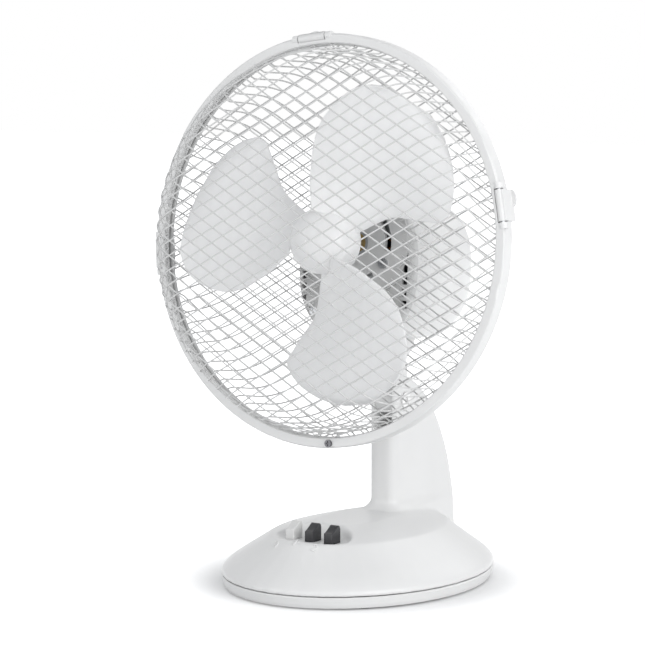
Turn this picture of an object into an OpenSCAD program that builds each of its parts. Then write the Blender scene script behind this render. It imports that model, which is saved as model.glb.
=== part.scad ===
// Oscillating desk fan, 9 inch class.
// Origin: centre of the base's underside, on the table. The fan blows towards -Y, +Z is up.

/* [Base and column] */
// Width of the base at its parting line
base_w = 175; // [165:1:200]
// Depth of the base at its parting line, front to back
base_d = 216; // [200:1:240]
// Height of the base's flat top above the table
dome_h = 44; // [41:0.5:48]
// How far the flat top sits behind the base's middle
dome_back = 3; // [0:0.5:6]
// How much the flat top rises from its middle to the front, over half the depth
dome_lean = 2; // [0:0.5:3]
// Height of the base plate's upper edge above the table
plate_h = 9; // [8:0.5:10]
// Wall of the base and column moulding
wall = 2.4; // [2:0.1:3]
// Width of the column's front edge
column_w = 23; // [22:0.5:28]
// Extra width of the column at its back edge, at the foot
column_flare = 9; // [4:0.5:12]
// Height of the column's top above the table
column_top = 140; // [136:1:146]
// Distance from the base's centre back to the column's front edge
column_front = 28; // [26:1:30]
// How far the rubber feet stand out below the base plate
foot_out = 1.5; // [1:0.1:2.5]

/* [Speed keys] */
// Distance between neighbouring keys
key_pitch = 15.2; // [14.5:0.1:16.5]
// Width of a key
key_w = 6.4; // [5.6:0.1:9]
// Length of a key, front to back
key_l = 11; // [10:0.5:14]
// How far a key goes down
key_travel = 4; // [3:0.5:4.5]
// Distance from the base's centre forward to the middle of the keys
key_forward = 57; // [55:0.5:59]

/* [Tilt and swing joints] */
// Upward tilt of the head as it stands
tilt_rest = 5; // [0:1:8]
// Height of the tilt bolt above the table
pivot_z = 120; // [118:1:122]
// Distance from the base's centre back to the tilt bolt
pivot_y = 42; // [41:0.5:44]
// Diameter of the tilt bolt
bolt_d = 6; // [5:0.5:7]
// Diameter of the steel post that the head swings on
post_d = 8; // [7:0.5:9]
// Running clearance of a bore round its pin, at the radius
fit = 0.05; // [0.03:0.01:0.1]
// Height of the blade shaft above the tilt bolt, square to the shaft
axis_h = 108; // [107:0.5:112]
// Throw of the swing crank
crank_r = 8; // [7:0.5:8.5]

/* [Motor] */
// Diameter of the motor shaft
shaft_d = 8; // [7:0.5:9]
// Outside diameter of the stator
stator_d = 61; // [58:1:62]
// Length of the laminated stack
stack_l = 22; // [18:1:22]
// Width of the motor cover
cover_w = 92; // [88:1:96]
// Height of the motor cover
cover_h = 100; // [98:1:104]
// Wall of the motor cover
cover_wall = 2.2; // [1.8:0.1:2.6]

/* [Guard and blade] */
// Outside diameter of the guard's retaining ring
ring_d = 275; // [265:1:285]
// Distance from the swing post forward to the middle of the retaining ring
ring_fwd = 92; // [90:1:94]
// Length of the retaining ring along the shaft
ring_l = 11; // [10:0.5:13]
// Depth of each guard, from the ring's middle to its face
guard_depth = 33; // [32:0.5:36]
// Diameter of the guard wires
wire_d = 1.3; // [1.1:0.1:1.6]
// Distance between neighbouring parallel wires
wire_pitch = 8.8; // [8.4:0.1:12]
// Angle of the two sets of wires from level
wire_angle = 30; // [20:1:40]
// Diameter of the blade, tip to tip
blade_d = 226; // [214:1:230]
// Diameter of the blade's hub
hub_d = 44; // [40:1:48]
// Length of the hub
hub_l = 32; // [30:1:33]
// Thickness of a blade
blade_t = 1.8; // [1.5:0.1:2.4]

/* [Hidden] */
$fn = 48;
eps = 0.01;
// gap between pieces that lie loosely side by side
air = 0.3;

// ---- base ----
dome_rise = dome_h - plate_h;
// outline of the dome: [share of its height, share of the base's width, share of its depth]
dome_profile = [
    [0, 1, 1], [0.10, 0.997, 1], [0.19, 0.964, 0.973], [0.30, 0.908, 0.931], [0.45, 0.815, 0.865],
    [0.62, 0.704, 0.800], [0.79, 0.588, 0.744], [0.91, 0.407, 0.614], [1, 0.24, 0.49]
];
plate_floor = 2.4;
base_steps = 44;
// chamfer that shows as the parting line round the base
seam = 0.8;
boss_d = 9;
screw_d = 3.6;
screw_head_d = 7;
// the four screws that hold the base plate, as shares of the half width and half depth
screw_spots = [[-0.58, -0.52], [0.58, -0.52], [-0.62, 0.46], [0.62, 0.46]];
// the bosses end inside the dome's wall
screw_boss_top = plate_h + dome_rise * 0.46;
foot_d = 14;
foot_spots = [[-0.55, -0.66], [0.55, -0.66], [-0.55, 0.66], [0.55, 0.66]];

// mains lead's hole through the back of the base
lead_x = -26;
lead_z = plate_h + 5.2;
lead_in = base_d / 2 - 22;

// ---- key dish ----
dish_floor = plate_h + dome_rise * 0.785;
dish_half_x = key_pitch * 1.5 + 4.4;
dish_half_y = key_l / 2 + 10;
key_gap = 0.3;
key_low_h = 6.6;
key_high_h = 11.2;
stem_w = key_w - 2;
stem_l = key_l - 3;
stem_down = 2 * key_travel + 4;
switch_h = 16;
switch_w = 3 * key_pitch + 4;
switch_l = 25;
switch_screw_x = switch_w / 2 + 5;
switch_top = dish_floor - wall - key_travel - 0.2;

// ---- column ----
column_back = base_d / 2;
column_z0 = plate_h + 3;
column_corner = 8;
slot_w = column_w - 8;
slot_z0 = pivot_z - 22;
cheek_gap = 0.25;
bolt_sink = 1.6;

// ---- neck ----
barrel_r = 10;
flange_y = -cover_h / 2 + 2;
flange_r = 18;
flange_t = 6;
neck_hub_r = 7;
neck_hub_h = 6;
washer_t = 1;
boss_r = 9.5;
boss_h = 15;
circlip_t = 1;
link_post_x = 14;
link_post_d = 5;
link_t = 2.5;
crank_fwd = -23;
crank_t = 3;

// ---- gear train, seen from the shaft ----
worm_r = 5;
worm_l = 14;
wheel_r = 9;
pinion_r = 3.8;
tooth_gap = 0.4;
wheel_x = worm_r + wheel_r + tooth_gap;
wheel_fwd = -8;
wheel_h = 8;
gear_r = wheel_fwd - crank_fwd - pinion_r - tooth_gap;
gear_t = 4;

// ---- motor, along the shaft, forward of the swing post ----
wire_r = wire_d / 2;
wire_lift = wire_r + 0.2;
plate_t = 1.2;
cover_gap = 1.3;
cover_drop = cover_h / 2 - stator_d / 2 - cover_wall - cover_gap;
cover_front = ring_fwd - guard_depth - wire_lift - wire_r - plate_t - 0.2;
cover_seam = cover_front - 7;
cover_round = 45;
cover_back = -5 - cover_round;
stack_z = 21;
coil_l = 5;
coil_w = stator_d * 0.08;
bracket_t = 3;
rear_bracket_z = 11;
front_bracket_z = stack_z + stack_l + coil_l;
rotor_d = stator_d * 0.52;
bearing_d = 13;

// ---- guard ----
ring_r = ring_d / 2;
ring_wall = 4.6;
ring_flange = 6.6;
ring_flange_t = 2.6;
rim_wire_r = 1.3;
rim_r = ring_r - ring_wall - rim_wire_r - 0.2;
// the front rim lies under the ring's flange, the rear one at its open edge over the clips' hooks
front_rim = ring_l / 2 - ring_flange_t - 0.2 - rim_wire_r;
rear_rim = -ring_l / 2 + 0.1 + rim_wire_r;
shoulder_r = 18;
shoulder_angle = 75;
shoulder_run = shoulder_r * shoulder_angle * PI / 180;
// break between the straight and the bent lengths of one wire
wire_gap = 0.2;
plate_r = 42;
clip_angles = [97, 12, 186];
screw_angle = 275.5;
ring_screw_in = 3.2;
// length of a clip with the ring's knuckles at both ends, and of the clip alone
clip_l = 30;
clip_own = clip_l - 8.6;
clip_t = 2.2;
clip_pin_d = 2.4;
clip_barrel_r = 3;
clip_pin_r = ring_r - 2;
clip_pin_z = ring_l / 2 - 2.2;
clip_drop = 0.4;

// ---- blade ----
hub_z = ring_fwd - 8;
hub_wall = 2;
hub_core_d = shaft_d + 7;
blade_count = 3;
pin_d = 3;

white = [0.93, 0.93, 0.92];
dark = [0.25, 0.25, 0.27];
steel = [0.72, 0.73, 0.75];
zinc = [0.6, 0.61, 0.63];
copper = [0.75, 0.42, 0.22];
brass = [0.8, 0.66, 0.35];
nylon = [0.9, 0.88, 0.8];

// ================= shared shapes =================

// places children in the tilted head: origin on the tilt bolt, z up the neck
module head_frame() translate([0, pivot_y, pivot_z]) rotate([-tilt_rest, 0, 0]) children();

// places children on the blade shaft: x right, y up the head, z forward, z 0 at the swing post
module on_shaft() head_frame() translate([0, 0, axis_h]) rotate([90, 0, 0]) children();

// a solid through a stack of closed rings of points, capped at both ends
module skin(rings) {
    n = len(rings[0]);
    m = len(rings);
    polyhedron(
        points = [for (r = rings) for (p = r) p],
        faces = concat(
            [[for (i = [0:n - 1]) i]],
            [[for (i = [0:n - 1]) m * n - 1 - i]],
            [for (k = [0:m - 2]) for (i = [0:n - 1])
                [k * n + i, (k + 1) * n + (i + 1) % n, k * n + (i + 1) % n]],
            [for (k = [0:m - 2]) for (i = [0:n - 1])
                [k * n + i, (k + 1) * n + i, (k + 1) * n + (i + 1) % n]]
        )
    );
}

// an ellipse of points at height z, scaled from the base's outline and moved in by inset
function base_ring(z, s, inset = 0) = [for (i = [0:base_steps - 1])
    let (a = 360 * i / base_steps)
    [(base_w / 2 * s - inset) * cos(a), (base_d / 2 * s - inset) * sin(a), z]];

// ring of the dome at one entry of its profile, lowered by drop
function dome_ring(p, inset = 0, drop = 0) = [for (i = [0:base_steps - 1])
    let (a = 360 * i / base_steps, y = dome_back * p[0] + (base_d / 2 * p[2] - inset) * sin(a))
    [(base_w / 2 * p[1] - inset) * cos(a), y,
        plate_h + dome_rise * p[0] - drop - dome_lean * p[0] * p[0] * y / (base_d / 2)]];

module base_outline(s, inset = 0)
    polygon([for (p = base_ring(0, s, inset)) [p[0], p[1]]]);

module at_spots(spots)
    for (s = spots) translate([s[0] * base_w / 2, s[1] * base_d / 2, 0]) children();

// a hexagon prism, across its flats
module hex(flats, h) cylinder(d = flats / cos(30), h = h, $fn = 6);

// ================= base and column =================

// height of the column's back edge is a quarter ellipse from the base's rim to the column's top
function back_y(a) = column_front + (column_back - column_front) * cos(a);
function back_z(a) = column_z0 + (column_top - column_z0) * sin(a);

// foot fillet: how far the column's sides stand out near the base's flat top
foot_fillet = 4;
foot_rise = 6;
function foot_out_at(z) = foot_fillet * pow(1 - min(1, max(0, (z - dome_h) / foot_rise)), 2);

// the column's outline at the height where its back edge has turned by angle a;
// foot is 1 with the fillet at the base and 0 without
function column_ring(a, inset = 0, foot = 1) =
    let (z = back_z(a), y0 = column_front + inset, y1 = max(back_y(a) - inset, y0 + 2),
        depth = y1 - y0, share = depth / (column_back - column_front),
        flare = foot * foot_out_at(z), w0 = column_w / 2 - inset, w1 = w0 + column_flare / 2 * share,
        r = min(column_corner - inset / 2, depth * 0.45))
    concat(
        [for (i = [0:6]) let (t = 180 + 15 * i)
            [-(w0 + flare) + r + r * cos(t), y0 - flare + r + r * sin(t), z]],
        [for (i = [0:6]) let (t = 270 + 15 * i)
            [w0 + flare - r + r * cos(t), y0 - flare + r + r * sin(t), z]],
        [for (i = [0:4]) let (t = 22.5 * i)
            [w1 - r * 0.7 + r * 0.7 * cos(t), y1 - r * 0.7 + r * 0.7 * sin(t), z]],
        [for (i = [0:4]) let (t = 90 + 22.5 * i)
            [-(w1 - r * 0.7) + r * 0.7 * cos(t), y1 - r * 0.7 + r * 0.7 * sin(t), z]]
    );

column_angles = concat(
    [0],
    [for (k = [0, 0.3, 0.65, 1]) asin((dome_h + foot_rise * k - column_z0) / (column_top - column_z0))],
    [26, 34, 42, 50, 58, 66, 73, 79, 84]
);

module column_solid() skin([for (a = column_angles) column_ring(a)]);

module column_hollow() skin([for (a = [0, 15.4, 26, 34, 40]) column_ring(a, wall, 0)]);

module dome_solid() skin([for (p = dome_profile) dome_ring(p)]);

module dome_hollow() skin(concat(
    [base_ring(plate_h - 1, 1, wall)],
    [for (k = [0, 2, 4, 6, 7, 8]) let (p = dome_profile[k]) dome_ring(p, wall, k > 0 ? wall * 0.85 : 0)]
));

// an upright elliptic tub on the dish's centre, wider by grow[k] at height up[k]
module dish_tub(half_x, half_y, up, grow) translate([0, -key_forward, 0])
    skin([for (k = [0:len(up) - 1]) [for (i = [0:35])
        [(half_x + grow[k]) * cos(10 * i), (half_y + grow[k]) * sin(10 * i), up[k]]]]);

// pocket that the keys sit in: level floor, sides that ease out to the dome
module dish_cut() translate([0, 0, dish_floor])
    dish_tub(dish_half_x, dish_half_y, [0, 1.2, 4, 8, 14], [0, 0.4, 1.6, 4, 9]);

module dish_under() translate([0, 0, dish_floor - wall])
    dish_tub(dish_half_x + wall, dish_half_y + wall, [0, 14], [0, 5]);

// slot in the column's top that the neck leans in, open to the front and above
module tilt_slot() {
    translate([-slot_w / 2, column_front - 20, slot_z0])
        cube([slot_w, 20 + pivot_y - column_front + 13, 60]);
    translate([-slot_w / 2, pivot_y, pivot_z + 6]) cube([slot_w, 60, 60]);
}

module stand_housing() color(white) {
    difference() {
        union() {
            difference() {
                union() {
                    dome_solid();
                    column_solid();
                }
                dome_hollow();
                column_hollow();
            }
            // underside of the key dish, and the bosses for screws and for the mains lead
            intersection() {
                union() {
                    dish_under();
                    translate([lead_x - 6, lead_in, plate_h + air])
                        cube([12, base_d / 2 - lead_in, 10.5]);
                    at_spots(screw_spots) translate([0, 0, plate_h])
                        cylinder(d = boss_d, h = screw_boss_top - plate_h);
                    for (x = [-1, 1]) translate([x * switch_screw_x, -key_forward, switch_top - 3])
                        cylinder(d = 8, h = key_travel + 5);
                }
                dome_solid();
            }
            // the screw bosses go on down to the base plate's floor
            at_spots(screw_spots) translate([0, 0, plate_floor + foot_out + air])
                cylinder(d = boss_d, h = plate_h + 4 - plate_floor - foot_out - air);
        }
        dish_cut();
        for (i = [-1:1]) translate([i * key_pitch, -key_forward, dish_floor - wall / 2])
            cube([key_w + 2 * key_gap, key_l + 2 * key_gap, wall + 4], center = true);
        tilt_slot();
        // way up for the wires, from the hollow column into the slot
        translate([0, pivot_y - 4, slot_z0 - 20]) cylinder(d = 7, h = 30);
        // tilt bolt's hole, its head's seat and its nut's seat
        translate([-column_w, pivot_y, pivot_z]) rotate([0, 90, 0])
            cylinder(r = bolt_d / 2 + fit, h = 2 * column_w);
        translate([column_w / 2 - bolt_sink, pivot_y, pivot_z]) rotate([0, 90, 0])
            cylinder(d = bolt_d + 5.6, h = 20);
        translate([-column_w / 2 + bolt_sink, pivot_y, pivot_z]) rotate([0, -90, 0])
            cylinder(d = bolt_d + 6.6, h = 20);
        at_spots(screw_spots) translate([0, 0, foot_out]) cylinder(d = screw_d - 0.8, h = plate_h + 8);
        for (x = [-1, 1]) translate([x * switch_screw_x, -key_forward, switch_top - 4])
            cylinder(d = 2.4, h = 7);
        // mains lead's hole in the back of the base
        translate([lead_x, base_d / 2 + 5, lead_z]) rotate([90, 0, 0]) cylinder(d = 7, h = 40);
    }
}

module base_plate() color(white) difference() {
    union() {
        difference() {
            skin([
                base_ring(foot_out, 0.972), base_ring(foot_out + 2.2, 0.985),
                base_ring(plate_h - seam, 1), base_ring(plate_h, 1, seam)
            ]);
            translate([0, 0, foot_out + plate_floor]) linear_extrude(plate_h) base_outline(0.985, wall);
        }
        // stiffening ribs across the floor
        for (x = [-24, 24]) translate([x - 1, -base_d * 0.36, foot_out + plate_floor - 1])
            cube([2, base_d * 0.72, 3]);
        for (y = [-1, 1]) translate([-24, y * base_d * 0.2 - 1, foot_out + plate_floor - 1])
            cube([48, 2, 3]);
    }
    at_spots(screw_spots) {
        translate([0, 0, -1]) cylinder(r = screw_d / 2 + fit, h = plate_h);
        translate([0, 0, -1]) cylinder(d = screw_head_d + 0.6, h = foot_out + 1 + 1.2);
    }
    at_spots(foot_spots) translate([0, 0, -1]) cylinder(d = foot_d + 0.4, h = foot_out + 1 + 1);
}

module base_screws() color(steel) at_spots(screw_spots) difference() {
    union() {
        translate([0, 0, foot_out - 0.9]) cylinder(d = screw_head_d, h = 2.1);
        translate([0, 0, foot_out + 1.1]) cylinder(d = screw_d - 0.9, h = 11);
    }
    for (a = [0, 90]) rotate(a) translate([-2.2, -0.4, foot_out - 2]) cube([4.4, 0.8, 2.2]);
}

module rubber_feet() color(dark) at_spots(foot_spots) rotate_extrude() polygon([
    [0, 0], [foot_d / 2 - 1, 0], [foot_d / 2 - 0.4, 0.5], [foot_d / 2, foot_out + 1], [0, foot_out + 1]
]);

// ================= switch and keys =================

module switch_block() color(dark) translate([0, -key_forward, switch_top]) difference() {
    union() {
        translate([-switch_w / 2, -switch_l / 2, -switch_h]) cube([switch_w, switch_l, switch_h]);
        // screw lugs at both ends
        for (x = [-1, 1]) {
            translate([x * switch_screw_x, 0, -5]) cylinder(d = 9, h = 2);
            translate([x * (switch_w / 2 + 2) - 3.5, -4.5, -5]) cube([7, 9, 2]);
        }
        // solder tags below the block
        for (i = [-1.5:1:1.5]) translate([i * key_pitch * 0.8 - 2, -0.4, -switch_h - 6]) cube([4, 0.8, 7]);
    }
    for (i = [-1:1])
        translate([i * key_pitch - stem_w / 2 - key_gap, -stem_l / 2 - key_gap, 2 - switch_h])
            cube([stem_w + 2 * key_gap, stem_l + 2 * key_gap, switch_h]);
    for (x = [-1, 1]) translate([x * switch_screw_x, 0, -6]) cylinder(r = 1.5 + fit, h = 4);
}

module switch_screws() color(steel) for (x = [-1, 1])
    translate([x * switch_screw_x, -key_forward, switch_top]) {
        translate([0, 0, -7]) cylinder(d = 5.5, h = 2);
        translate([0, 0, -5 - eps]) cylinder(d = 2.3, h = 6);
    }

// height of a key's hollowed thumb face, from its front edge to its crest at share f
function thumb_h(f) = key_low_h + (key_high_h - key_low_h) * pow(f, 1.35);

// one wedge-shaped key with its stem, i places from the middle one
module key(i) translate([i * key_pitch, -key_forward, dish_floor]) {
    translate([-key_w / 2, 0, 0]) rotate([90, 0, 90]) linear_extrude(key_w) polygon(concat(
        [[-key_l / 2, air - wall], [-key_l / 2, key_low_h]],
        [for (k = [1:6]) [-key_l / 2 + key_l * 0.12 * k, thumb_h(k / 6)]],
        [[key_l * 0.34, key_high_h], [key_l * 0.44, key_high_h - 0.8], [key_l / 2, key_high_h - 2.6]],
        [[key_l / 2, air - wall]]
    ));
    translate([-stem_w / 2, -stem_l / 2, -wall - stem_down]) cube([stem_w, stem_l, stem_down + 0.5]);
}

module key_off() color(white) key(-1);
module key_low() color(dark) key(0);
module key_high() color(dark) key(1);

// ================= neck, tilt and swing pivots =================

// outline of the neck's stem at height z in the head's frame
function neck_ring(z, hx, hy) = [for (i = [0:31])
    let (a = 360 * i / 32, c = cos(a), s = sin(a))
    [hx * sign(c) * pow(abs(c), 0.8), hy * sign(s) * pow(abs(s), 0.8), z]];

flange_top = axis_h + flange_y;

module neck() color(white) head_frame() difference() {
    union() {
        rotate([0, 90, 0]) cylinder(r = barrel_r, h = slot_w - 2 * cheek_gap, center = true);
        translate([-slot_w / 2 + cheek_gap, -7.5, 0]) cube([slot_w - 2 * cheek_gap, 15, 26]);
        skin([
            neck_ring(24, slot_w / 2 - cheek_gap, 7.5), neck_ring(29, 9, 9), neck_ring(36, 12.5, 12),
            neck_ring(flange_top - 12, 15, 15), neck_ring(flange_top - flange_t, flange_r - 1, flange_r - 1)
        ]);
        translate([0, 0, flange_top - flange_t]) cylinder(r = flange_r, h = flange_t);
        translate([0, 0, flange_top - 1]) cylinder(r = neck_hub_r, h = neck_hub_h + 1);
        translate([link_post_x, 0, flange_top - 1]) cylinder(d = link_post_d, h = link_t + 2.2);
    }
    rotate([0, 90, 0]) cylinder(r = bolt_d / 2 + fit, h = column_w * 2, center = true);
    translate([0, 0, flange_top - 18]) cylinder(d = post_d, h = 40);
}

module tilt_bolt() color(steel) translate([0, pivot_y, pivot_z]) {
    translate([-column_w / 2 - 1, 0, 0]) rotate([0, 90, 0]) cylinder(d = bolt_d, h = column_w);
    translate([column_w / 2 - bolt_sink, 0, 0]) rotate([0, 90, 0]) difference() {
        cylinder(d = bolt_d + 5, h = 2.6);
        translate([0, 0, 1.2]) hex(4, 3);
    }
}

module tilt_nut() color(steel) translate([-column_w / 2 + bolt_sink, pivot_y, pivot_z])
    rotate([0, -90, 0]) difference() {
        hex(bolt_d + 3.6, 3);
        translate([0, 0, -1]) cylinder(r = bolt_d / 2 + 0.02, h = 6);
    }

module pivot_post() color(steel) head_frame() difference() {
    translate([0, 0, flange_top - 18])
        cylinder(d = post_d, h = 18 + neck_hub_h + washer_t + boss_h + circlip_t + 2);
    translate([0, 0, flange_top + neck_hub_h + washer_t + boss_h + 0.2]) difference() {
        cylinder(d = post_d + 2, h = circlip_t);
        translate([0, 0, -1]) cylinder(d = post_d - 1.4, h = circlip_t + 2);
    }
}

module thrust_washer() color(nylon) head_frame() translate([0, 0, flange_top + neck_hub_h]) difference() {
    cylinder(r = neck_hub_r + 1.5, h = washer_t);
    translate([0, 0, -1]) cylinder(r = post_d / 2 + fit, h = washer_t + 2);
}

module post_circlip() color(zinc) head_frame()
    translate([0, 0, flange_top + neck_hub_h + washer_t + boss_h + 0.2]) difference() {
        cylinder(d = post_d + 4, h = circlip_t);
        translate([0, 0, -1]) cylinder(d = post_d - 1.4, h = circlip_t + 2);
        translate([-1.6, 0, -1]) cube([3.2, post_d, circlip_t + 2]);
    }

// ================= gearbox =================

box_x0 = -12;
box_x1 = link_post_x + gear_r + 3.4;
box_top = 12;
// underside of the gearbox's foot, on the thrust washer
foot_y = flange_y + neck_hub_h + washer_t;
box_bottom = foot_y + boss_h + 4;
box_back = crank_fwd - gear_r - 3.4;
box_wall = 2.6;
gear_y = -wheel_h / 2 - 3 - gear_t;
// the two screw ears: beside the box and on top of it
box_ears = [[box_x0 - 5, -2], [13, box_top + 5]];

// block of the gearbox, smaller by a wall all round
module gearbox_block(w)
    cube([box_x1 - box_x0 - 2 * w, box_top - box_bottom - 2 * w, rear_bracket_z - box_back - 2 * w]);

module gearbox_housing() color(zinc) on_shaft() difference() {
    union() {
        translate([box_x0, box_bottom, box_back]) gearbox_block(0);
        // the foot that carries the head on the swing post
        translate([0, foot_y, 0]) rotate([-90, 0, 0]) cylinder(r = boss_r, h = boss_h);
        translate([-boss_r + 1, foot_y, -12.5]) cube([boss_r + 4, boss_h + 8, 5.8]);
        // bearing tube of the crank's shaft
        translate([link_post_x, box_bottom - 5, crank_fwd]) rotate([-90, 0, 0]) cylinder(r = 5.4, h = 8);
        // ears for the screws into the rear bracket
        for (p = box_ears) translate([p[0], p[1], rear_bracket_z - 5]) cylinder(d = 9, h = 5);
        translate([box_x0 - 5, -6.5, rear_bracket_z - 5]) cube([9, 9, 5]);
        translate([box_ears[1][0] - 4.5, box_top - 2, rear_bracket_z - 5]) cube([9, 7, 5]);
    }
    translate([box_x0 + box_wall, box_bottom + box_wall, box_back + box_wall]) gearbox_block(box_wall);
    translate([0, 0, rear_bracket_z - 8]) cylinder(d = shaft_d + 1.2, h = 12);
    translate([0, flange_y, 0]) rotate([-90, 0, 0]) cylinder(r = post_d / 2 + fit, h = 30);
    translate([link_post_x, box_bottom - 9, crank_fwd]) rotate([-90, 0, 0]) cylinder(r = 3 + fit, h = 20);
    translate([wheel_x, 0, wheel_fwd]) rotate([-90, 0, 0]) cylinder(r = 2.5 + fit, h = 40);
    translate([wheel_x, box_bottom - 1, wheel_fwd]) rotate([-90, 0, 0]) cylinder(r = 2 + fit, h = 10);
    for (p = box_ears) translate([p[0], p[1], rear_bracket_z - 8]) cylinder(r = 2 + fit, h = 12);
}

module gearbox_screws() color(steel) on_shaft() for (p = box_ears) translate([p[0], p[1], rear_bracket_z]) {
    translate([0, 0, -7.4]) cylinder(d = 7, h = 2.4);
    translate([0, 0, -5 - eps]) cylinder(d = 4, h = 5 + bracket_t - 0.5);
}

// flat gear: teeth as a ring of flat-topped points
module toothed(r, n, h, depth = 1.4) linear_extrude(h) polygon([for (i = [0:n - 1]) for (k = [0:3])
    let (a = 360 * (i + [0, 0.22, 0.5, 0.72][k]) / n, q = k < 2 ? r : r - depth) [q * cos(a), q * sin(a)]]);

// nylon wheel driven by the worm, with its pinion and spindle in one piece
module worm_gear_wheel() color(nylon) on_shaft() translate([wheel_x, 0, wheel_fwd]) rotate([-90, 0, 0]) {
    translate([0, 0, -wheel_h / 2]) toothed(wheel_r, 30, wheel_h, 1);
    translate([0, 0, gear_y - 1]) toothed(pinion_r, 9, -gear_y + 1 - wheel_h / 2 + eps, 1);
    translate([0, 0, box_bottom + 1]) cylinder(r = 2, h = gear_y - box_bottom);
}

// driven gear, its upright shaft and the crank below the gearbox
crank_y = box_bottom - 5.7 - crank_t;
pin_y = flange_y + link_t + 0.8;
module swing_crank_gear() color(brass) on_shaft()
    translate([link_post_x, 0, crank_fwd]) rotate([-90, 0, 0]) {
        translate([0, 0, gear_y]) toothed(gear_r, 27, gear_t, 1);
        translate([0, 0, crank_y]) cylinder(r = 3, h = gear_y - crank_y + 0.3);
        translate([0, 0, crank_y]) linear_extrude(crank_t) crank_outline();
        translate([crank_r, 0, pin_y]) cylinder(d = 4, h = crank_y + crank_t - pin_y);
    }

module crank_outline() {
    circle(r = 5);
    translate([crank_r, 0]) circle(r = 3.4);
    translate([0, -3.4]) square([crank_r, 6.8]);
}

link_run = [crank_r, crank_fwd];
link_len = norm(link_run);

module swing_link() color(zinc) on_shaft() translate([link_post_x, flange_y + 0.3, 0]) rotate([-90, 0, 0])
    rotate(atan2(-crank_fwd, crank_r)) difference() {
        linear_extrude(link_t - 0.3) {
            circle(r = 4.4);
            translate([link_len, 0]) circle(r = 4.4);
            translate([0, -2.4]) square([link_len, 4.8]);
        }
        translate([0, 0, -1]) cylinder(r = link_post_d / 2 + fit, h = 6);
        translate([link_len, 0, -1]) cylinder(d = 4.6, h = 6);
    }

// ================= motor =================

module motor_shaft() color(steel) on_shaft() difference() {
    union() {
        translate([0, 0, -worm_l - 4]) cylinder(d = shaft_d - 3, h = worm_l + 8);
        translate([0, 0, 2]) cylinder(d = shaft_d, h = hub_z + hub_l - 8 - 2);
        // worm: a row of turned ridges on the shaft's back end
        for (i = [0:5]) translate([0, 0, wheel_fwd - 5.4 + 2 * i]) {
            cylinder(r1 = worm_r - 1.2, r2 = worm_r, h = 0.5);
            translate([0, 0, 0.5]) cylinder(r1 = worm_r, r2 = worm_r - 1.2, h = 0.5);
        }
    }
    translate([0, 0, hub_z + 6]) rotate([0, 90, 0]) cylinder(d = pin_d, h = 30, center = true);
}

module rotor_core() color(zinc) on_shaft() difference() {
    union() {
        translate([0, 0, stack_z]) cylinder(d = rotor_d - 0.8, h = stack_l);
        for (z = [stack_z - 3, stack_z + stack_l]) translate([0, 0, z]) cylinder(d = rotor_d - 5, h = 3);
    }
    translate([0, 0, stack_z - 5]) cylinder(d = shaft_d, h = stack_l + 10);
}

// the four long screws that hold the brackets to the stack
module at_bolts(z) for (i = [0:3]) rotate(90 * i + 45) translate([stator_d / 2 - 3.6, 0, z]) children();

module stator_core() color(zinc) on_shaft() translate([0, 0, stack_z]) difference() {
    cylinder(d = stator_d, h = stack_l, $fn = 72);
    translate([0, 0, -1]) cylinder(d = rotor_d, h = stack_l + 2);
    for (i = [0:7]) rotate(45 * i + 22.5) {
        translate([stator_d * 0.355, 0, -1]) cylinder(d = 7.4, h = stack_l + 2);
        translate([rotor_d / 2 - 1, -1, -1]) cube([stator_d * 0.355 - rotor_d / 2 + 1, 2, stack_l + 2]);
    }
    at_bolts(-1) cylinder(r = 2, h = stack_l + 2);
}

// end turns of the windings, at both faces of the stack
module stator_coils() color(copper) on_shaft() for (z = [stack_z - coil_l + 0.8, stack_z + stack_l])
    for (i = [0:3]) rotate(90 * i + 6) translate([0, 0, z]) rotate_extrude(angle = 78)
        translate([rotor_d / 2 + 1.6, 0]) polygon([
            [0, 0.8], [0.8, 0], [coil_w - 0.8, 0], [coil_w, 0.8],
            [coil_w, coil_l - 1.6], [coil_w - 0.8, coil_l - 0.8], [0.8, coil_l - 0.8], [0, coil_l - 1.6]
        ]);

// the four screws through the guard's centre plate and the motor cover into the front bracket
module at_plate_screws(z) for (i = [0:3]) rotate(90 * i + 61) translate([27, 0, z]) children();

// end shield: a cup with four legs to the stack and a boss for the bearing
module end_shield(legs) difference() {
    union() {
        difference() {
            cylinder(r = stator_d / 2, h = bracket_t, $fn = 72);
            for (i = [0:3]) rotate(90 * i) translate([stator_d * 0.33, 0, -1])
                cylinder(d = 11, h = bracket_t + 2);
        }
        cylinder(d = bearing_d + 5, h = bracket_t + 3);
        at_bolts(-legs) cylinder(r = 3.4, h = legs + 1);
    }
    translate([0, 0, -1]) cylinder(d = bearing_d, h = 20);
    at_bolts(-legs - 1) cylinder(r = 2 + fit, h = legs + 10);
    at_plate_screws(-1) cylinder(r = 2 + fit, h = bracket_t + 2);
}

module front_bracket() color(zinc) on_shaft() translate([0, 0, front_bracket_z])
    end_shield(front_bracket_z - stack_z - stack_l);

module rear_bracket() color(zinc) on_shaft() translate([0, 0, rear_bracket_z + bracket_t]) mirror([0, 0, 1])
    rear_shield();

// the rear shield's face towards the gearbox is flat, its boss turns inwards
module rear_shield() difference() {
    union() {
        cylinder(r = stator_d / 2, h = bracket_t, $fn = 72);
        translate([0, 0, -3]) cylinder(d = bearing_d + 5, h = bracket_t + 3);
        at_bolts(rear_bracket_z + bracket_t - stack_z)
            cylinder(r = 3.4, h = stack_z - rear_bracket_z - bracket_t + 1);
    }
    translate([0, 0, -10]) cylinder(d = bearing_d, h = 20);
    at_bolts(-20) cylinder(r = 2 + fit, h = 40);
    for (p = box_ears) translate([p[0], p[1], -10]) cylinder(r = 2, h = 20);
}

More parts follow.
